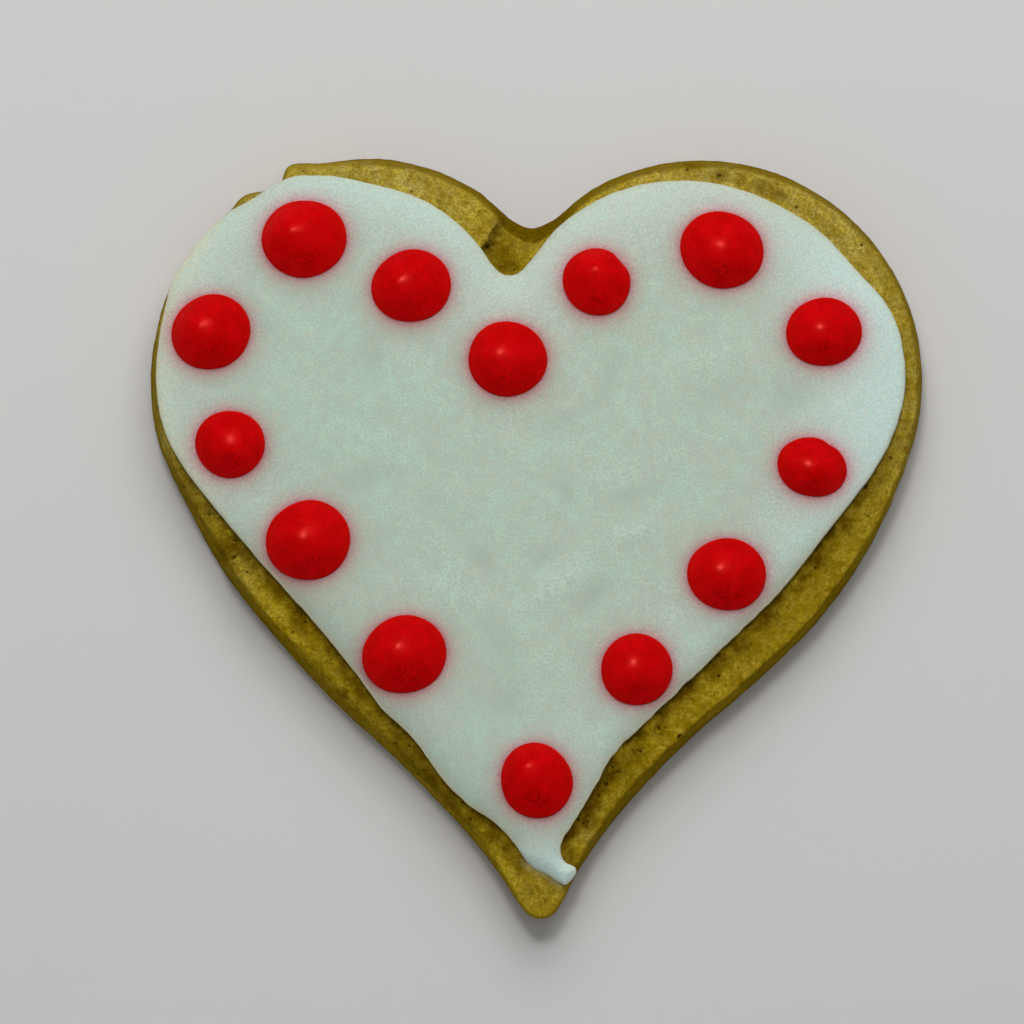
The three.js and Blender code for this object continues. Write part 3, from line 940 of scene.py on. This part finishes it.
class Nodes:
    """A material's node tree, with short calls to add and join nodes."""

    def __init__(self, name):
        self.material = bpy.data.materials.new(name)
        self.material.use_nodes = True
        self.tree = self.material.node_tree
        self.shader = self.tree.nodes["Principled BSDF"]
        self.place = self.tree.nodes.new("ShaderNodeTexCoord").outputs["Object"]
        self.colour = None

    def fill(self, node, inputs):
        """Sets a node's inputs to numbers, colours or other nodes' outputs."""
        for name, value in inputs.items():
            socket = node.inputs[name]
            if isinstance(value, bpy.types.NodeSocket):
                self.tree.links.new(value, socket)
            else:
                socket.default_value = (*value, 1) if socket.type == "RGBA" else value

    def add(self, kind, inputs, **settings):
        node = self.tree.nodes.new(kind)
        for name, value in settings.items():
            setattr(node, name, value)
        self.fill(node, inputs)
        return node

    def noise(self, size_mm, detail=3.0, roughness=0.55, stretch=None):
        """Noise from 0 to 1 with features of about that size, turned and drawn out if asked."""
        place = self.place
        if stretch:
            turn, scale = stretch
            inputs = {"Vector": place, "Rotation": (0, 0, turn), "Scale": (scale, 1, 1)}
            place = self.add("ShaderNodeMapping", inputs).outputs["Vector"]
        inputs = {"Vector": place, "Scale": 1 / (size_mm * MM), "Detail": detail, "Roughness": roughness}
        return self.add("ShaderNodeTexNoise", inputs).outputs["Fac"]

    def attribute(self, name):
        return self.add("ShaderNodeAttribute", {}, attribute_name=name).outputs["Fac"]

    def times(self, first, second, clamp=False):
        inputs = {0: first, 1: second}
        return self.add("ShaderNodeMath", inputs, operation="MULTIPLY", use_clamp=clamp).outputs[0]

    def span(self, value, low, high, to_low=0.0, to_high=1.0):
        """The value moved from one range to another, smoothly and within it."""
        inputs = {"Value": value, "From Min": low, "From Max": high, "To Min": to_low, "To Max": to_high}
        return self.add("ShaderNodeMapRange", inputs, interpolation_type="SMOOTHSTEP").outputs["Result"]

    def patches(self, low, high, *noise, **stretch):
        """0 where the noise is under low, 1 where it is over high."""
        return self.span(self.noise(*noise, **stretch), low, high)

    def mix(self, share, first, second, blend="MIX"):
        inputs = {"Factor": share, 6: first, 7: second}
        return self.add("ShaderNodeMix", inputs, data_type="RGBA", blend_type=blend).outputs[2]

    def coat(self, share, over, strength=None, blend="MIX"):
        """Lays a colour over the material's, as far as a share or an attribute says, times the strength."""
        if isinstance(share, str):
            share = self.attribute(share)
        if strength is not None:
            share = self.times(share, strength)
        self.colour = self.mix(share, self.colour, over, blend)

    def tint(self, share, by, strength=None):
        """Multiplies the material's colour by another, as far as the share says."""
        self.coat(share, by, strength, "MULTIPLY")

    def bump(self, height, distance_mm, below=None):
        inputs = {"Distance": distance_mm * MM, "Height": height}
        if below is not None:
            inputs["Normal"] = below
        return self.add("ShaderNodeBump", inputs).outputs["Normal"]

    def finish(self, roughness, normal, specular):
        inputs = {"Base Color": self.colour, "Roughness": roughness, "Normal": normal}
        self.fill(self.shader, {**inputs, "Specular IOR Level": specular})
        return self.material


def baked_dough_material():
    nodes = Nodes("baked_dough")
    patches = nodes.patches(0.40, 0.60, 4)
    warm = nodes.patches(0.46, 0.60, 2.0)
    crumb = nodes.patches(0.40, 0.62, 1.0, 4, 0.62)
    blotch = nodes.patches(0.50, 0.64, 0.75)
    grain = nodes.patches(0.38, 0.62, 0.26, 3, 0.6)
    nodes.colour = nodes.mix(patches, (0.367, 0.243, 0.0044), (0.592, 0.430, 0.0147))
    # Paler dough, with a painted highlight on the nose of the cleft's step.
    nodes.coat("pale", (0.660, 0.524, 0.132))
    nodes.coat(warm, (0.370, 0.215, 0.004), 0.50)
    nodes.coat(crumb, (0.700, 0.533, 0.056), 0.60)
    nodes.coat(blotch, (0.260, 0.150, 0.003), 0.50)
    furrow = nodes.span(nodes.attribute("ridge"), 0.35, 0.62, 0.32, 0)
    nodes.coat(furrow, (0.220, 0.150, 0.003))
    nodes.coat("gold", (0.620, 0.430, 0.012), 0.30)
    nodes.coat(grain, (0.240, 0.155, 0.0042), 0.62)
    nodes.coat(nodes.patches(0.58, 0.68, 0.55, 2, 0.5), (0.165, 0.085, 0.001), 0.42)
    uneven = nodes.span(nodes.noise(0.55, 4, 0.7), 0.38, 0.60, 0.70, 1.08)
    # Browner patches, painted shadow beside the icing's lower edge and painted shade below the cleft's step.
    browned_and_shaded = nodes.times(nodes.attribute("brown_and_shade"), uneven)
    nodes.coat(browned_and_shaded, (0.104, 0.054, 0.0005), 0.94)
    lighter = nodes.patches(0.40, 0.62, 0.6, 4, 0.7)
    nodes.coat("wall", nodes.mix(lighter, (0.120, 0.070, 0.0005), (0.215, 0.138, 0.0020)))
    nodes.coat("film", (0.54, 0.53, 0.33), 0.42)
    nodes.coat("bake", (0.175, 0.098, 0.002), 0.55)
    # Painted shade in the holes, the pits and the crack, darkened nearly to black.
    hollow = nodes.span(nodes.attribute("hole"), 0.15, 0.8, 0, 0.88)
    nodes.coat(hollow, (0.035, 0.020, 0.0005))
    normal = nodes.bump(nodes.noise(0.45, 4, 0.7), 0.14)
    normal = nodes.bump(nodes.noise(0.14, 2, 0.6), 0.03, normal)
    return nodes.finish(nodes.span(crumb, 0, 1, 0.8, 0.92), normal, 0.0)


def pale_icing_material():
    nodes = Nodes("pale_icing")
    cloud = nodes.patches(0.38, 0.62, 14)
    streak = nodes.patches(0.38, 0.64, 5, 4, 0.6, stretch=(0.6, 2.2))
    blush = nodes.patches(0.40, 0.62, 3.2, 3, 0.6)
    mottle = nodes.patches(0.38, 0.62, 1.2, 4, 0.6)
    fine = nodes.patches(0.38, 0.62, 0.22, 3, 0.6)
    speckle = nodes.patches(0.38, 0.62, 0.17, 2, 0.6)
    nodes.colour = nodes.mix(cloud, (0.563, 0.711, 0.588), (0.656, 0.784, 0.671))
    nodes.coat("core", (0.620, 0.814, 0.671))
    nodes.coat(streak, (0.615, 0.830, 0.685), 0.55)
    nodes.coat(blush, (0.670, 0.690, 0.590), 0.45)
    # Painted light on the knife's raised marks and painted shade in its hollows.
    raised = nodes.times(nodes.attribute("mark"), 0.90, clamp=True)
    hollow = nodes.times(nodes.attribute("mark"), -0.72, clamp=True)
    nodes.coat(raised, (0.700, 0.860, 0.730))
    nodes.coat(hollow, (0.430, 0.530, 0.440))
    nodes.coat(mottle, (0.53, 0.61, 0.52), 0.34)
    # Painted sheen on the lobes' lit edges, and the lighter run at the tip.
    nodes.coat("edge_sheen_and_run", (0.733, 0.866, 0.808))
    grained = nodes.span(nodes.attribute("edge_sheen_and_run"), 0, 1, 0.70, 0.44)
    nodes.coat(fine, (0.51, 0.61, 0.53), grained)
    nodes.tint(0.9, nodes.mix(speckle, (1.03, 0.955, 0.865), (0.92, 1.005, 1.005)))
    # Bluer tints, partly a painted reflection of bluish light on the right lobe's side.
    nodes.tint("cool_tint_and_sheen", (1.05, 1.12, 1.17))
    nodes.tint("green", (0.975, 1.0, 1.0))
    nodes.tint("warm", (1.11, 1.05, 0.99))
    nodes.tint("cream", (1.03, 0.955, 0.905))
    # Painted shade near the icing's edge along the lower flanks.
    nodes.tint("flank_shade", (0.86, 0.84, 0.83))
    # Red round each drop: partly red dye bled into the icing, partly painted red light bounced off the drop.
    nodes.tint("halo", (1.04, 0.25, 0.39), nodes.span(fine, 0, 1, 0.78, 0.92))
    # Painted shade on the icing below each drop.
    nodes.tint("lee_shade", (0.84, 0.66, 0.67))
    # Painted light: a cream line along the edges away from the light, standing in for light through the
    # icing's edge.
    nodes.coat("edge", (0.90, 0.87, 0.61))
    normal = nodes.bump(nodes.noise(1.4, 3, 0.5), 0.03)
    normal = nodes.bump(nodes.noise(0.3, 2, 0.5), 0.010, normal)
    return nodes.finish(nodes.span(cloud, 0, 1, 0.45, 0.55), normal, 0.05)


def red_icing_material():
    nodes = Nodes("red_icing")
    mottle = nodes.patches(0.38, 0.62, 1.8)
    specks = nodes.patches(0.49, 0.62, 0.30, 3, 0.6)
    nodes.colour = nodes.mix(mottle, (0.66, 0.0012, 0.0020), (0.75, 0.0018, 0.0042))
    # Painted light: each drop's rim is painted a lighter red, standing in for light through its edge.
    nodes.coat(nodes.span(nodes.attribute("spread"), 0.78, 1.0), (0.80, 0.008, 0.003), 0.5)
    # A painted dark reflection and shade on the lower middle of each drop, with dark specks in it.
    dark_reflection = nodes.attribute("dark_reflection")
    nodes.coat(specks, (0.26, 0.0004, 0.0006), nodes.span(dark_reflection, 0, 1, 0.20, 0.62))
    nodes.coat(dark_reflection, (0.38, 0.0004, 0.0006), 0.08)
    nodes.fill(nodes.shader, {
        "Subsurface Weight": 0.8,
        "Subsurface Radius": (1.0, 0.08, 0.05),
        "Subsurface Scale": 1.6 * MM,
        "Specular Tint": (1.0, 0.14, 0.10),
    })
    normal = nodes.bump(nodes.noise(0.5, 2, 0.5), 0.008)
    return nodes.finish(nodes.span(mottle, 0, 1, 0.29, 0.34), normal, 0.1)


# ---- The stage ----

def floor():
    """A square floor, two metres out from the object on each side."""
    mesh = bpy.data.meshes.new("floor")
    mesh.from_pydata([(-2, -2, 0), (2, -2, 0), (2, 2, 0), (-2, 2, 0)], [], [(0, 1, 2, 3)])
    surface = new_object("floor", mesh)
    nodes = Nodes("floor")
    nodes.colour = nodes.mix(nodes.noise(60, 2), (0.78, 0.77, 0.76), (0.81, 0.80, 0.79))
    mesh.materials.append(nodes.finish(0.9, nodes.bump(nodes.noise(3, 2), 0.01), 0.2))


def soft_light(name, azimuth, zenith, distance, size, power):
    """A square soft light aimed at the object, on a bearing from +Y and at an angle from straight up."""
    lamp = bpy.data.lights.new(name, "AREA")
    lamp.size = size
    lamp.energy = power
    holder = new_object(name, lamp)
    turn, tilt = math.radians(azimuth), math.radians(zenith)
    towards = Vector((-math.sin(turn) * math.sin(tilt), math.cos(turn) * math.sin(tilt), math.cos(tilt)))
    holder.location = towards * distance
    holder.rotation_mode = "QUATERNION"
    holder.rotation_quaternion = towards.to_track_quat("Z", "Y")
    holder.visible_camera = False
    return holder


def lights():
    """A wide soft light, a smaller one, the small gleam on each drop and an even white surround."""
    key = soft_light("key", azimuth=-3, zenith=40, distance=0.6, size=0.44, power=1.75)
    fill = soft_light("fill", azimuth=8, zenith=20, distance=0.6, size=0.08, power=0.55)
    glint = soft_light("glint", azimuth=8, zenith=20, distance=0.6, size=0.09, power=8)
    key.visible_glossy = False
    fill.visible_glossy = False
    glint.visible_diffuse = False
    world = bpy.data.worlds.new("studio")
    world.use_nodes = True
    surround = world.node_tree.nodes["Background"].inputs
    surround["Color"].default_value = (1, 1, 1, 1)
    surround["Strength"].default_value = 0.22
    bpy.context.scene.world = world
    bpy.context.scene.view_settings.view_transform = "Standard"


PICTURE_WIDTH = 1.326  # of the photo, as a share of the object's width
AIM = (-2.45, 2.62)  # the middle of the photo, in mm


def camera():
    """Straight down on the object, from far enough that its sides stay upright."""
    data = bpy.data.cameras.new("camera")
    data.lens = 1200
    data.sensor_width = 36
    low, high = cad_bounds
    holder = new_object("camera", data)
    distance = (high.x - low.x) * PICTURE_WIDTH * data.lens / data.sensor_width
    aim = Vector((AIM[0] * MM, AIM[1] * MM, high.z * 0.4))
    holder.location = aim + Vector((0, 0, distance))
    data.clip_end = 10
    bpy.context.scene.camera = holder


dough_piece(baked_dough_material())
icing_piece(pale_icing_material())
red = red_icing_material()
for number, drop in enumerate(DROPS):
    drop_piece(drop, red, np.random.default_rng(100 + number))
floor()
lights()
camera()
